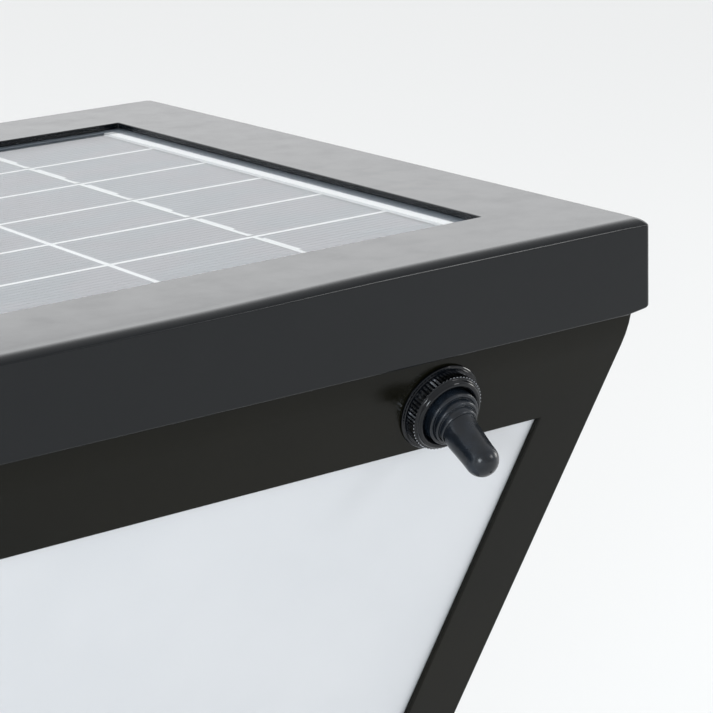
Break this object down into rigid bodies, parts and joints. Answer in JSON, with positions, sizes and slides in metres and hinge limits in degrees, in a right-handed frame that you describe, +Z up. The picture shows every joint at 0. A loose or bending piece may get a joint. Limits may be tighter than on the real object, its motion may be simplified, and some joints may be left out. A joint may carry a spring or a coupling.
{
  "type": "solar lantern head",
  "caption": "Square tapered solar lantern head for a post or pillar: panel cap, milky windows, booted toggle switch, neck and fixing flange.",
  "frame": {"origin": "centre of the underside of the base flange, where the lamp stands on its pillar", "axes": "+Z up along the lamp, front face with the switch facing -Y, +X to the right seen from the front"},
  "size_m": [0.205, 0.2115, 0.235],
  "materials": {
    "black_paint": "gloss black stove enamel with a fine orange peel",
    "milky_acrylic": "satin milky acrylic",
    "clear_film": "clear glossy laminating film",
    "solar_cell": "blue-grey crystalline silicon under film",
    "panel_board": "white laminated board",
    "sealant": "matt black silicone bead",
    "black_plastic": "matt moulded",
    "zinc_sheet": "zinc plated sheet",
    "steel_screw": "plated steel",
    "cell_jacket": "shrink sleeve",
    "circuit_green": "solder mask",
    "white_plastic": "matt white",
    "red_lead": "soft insulation",
    "black_lead": "soft insulation",
    "black_metal": "black plated, semi-gloss",
    "nickel": "nickel plated",
    "brass": "bright",
    "phenolic": "moulded phenolic",
    "boot_rubber": "glossy black rubber"
  },
  "bodies": {
    "root": {"back_diffuser": "milky_acrylic", "back_frame": "black_paint", "base_flange": "black_paint", "battery_cell_1": "cell_jacket", "battery_cell_2": "cell_jacket", "battery_holder": "black_plastic", "battery_lead": "red_lead", "boot_ring": "black_metal", "cap_frame": "black_paint", "cap_screw_left": "steel_screw", "cap_screw_right": "steel_screw", "controller_board": "circuit_green", "controller_connector": "white_plastic", "corner_angle_1": "zinc_sheet", "corner_angle_2": "zinc_sheet", "corner_angle_3": "zinc_sheet", "corner_angle_4": "zinc_sheet", "floor_plate": "black_paint", "front_diffuser": "milky_acrylic", "front_frame": "black_paint", "gear_tray": "zinc_sheet", "led_board": "white_plastic", "led_lead": "black_lead", "left_diffuser": "milky_acrylic", "left_frame": "black_paint", "lever_pin": "brass", "neck_tube": "black_paint", "panel_board": "panel_board", "panel_cover": "clear_film", "panel_junction_box": "black_plastic", "panel_lead": "black_lead", "panel_seal": "sealant", "right_diffuser": "milky_acrylic", "right_frame": "black_paint", "solar_cell_1_1": "solar_cell", "solar_cell_1_2": "solar_cell", "solar_cell_1_3": "solar_cell", "solar_cell_1_4": "solar_cell", "solar_cell_1_5": "solar_cell", "solar_cell_1_6": "solar_cell", "solar_cell_2_1": "solar_cell", "solar_cell_2_2": "solar_cell", "solar_cell_2_3": "solar_cell", "solar_cell_2_4": "solar_cell", "solar_cell_2_5": "solar_cell", "solar_cell_2_6": "solar_cell", "switch_body": "phenolic", "switch_boot": "boot_rubber", "switch_bushing": "nickel", "switch_lead": "black_lead", "switch_nut": "nickel", "switch_washer": "black_metal", "tray_screw_1": "steel_screw", "tray_screw_2": "steel_screw", "tray_screw_3": "steel_screw", "tray_screw_4": "steel_screw"},
    "lever": {"switch_lever": "nickel"},
    "rocker": {"switch_rocker": "brass"}
  },
  "joints": [
    {"name": "lever_hinge", "type": "hinge", "parent": "root", "child": "lever", "pos_m": [0.04775, -0.09628, 0.20307], "axis": [-1, 0, 0], "range_deg": [0, 30], "deforming": ["switch_boot"]},
    {"name": "rocker_hinge", "type": "hinge", "parent": "root", "child": "rocker", "pos_m": [0.04775, -0.08213, 0.20743], "axis": [1, 0, 0], "range_deg": [0, 20]}
  ],
  "couplings": [
    {"joint": "rocker_hinge", "follows": "lever_hinge", "ratio": 0.6666}
  ]
}
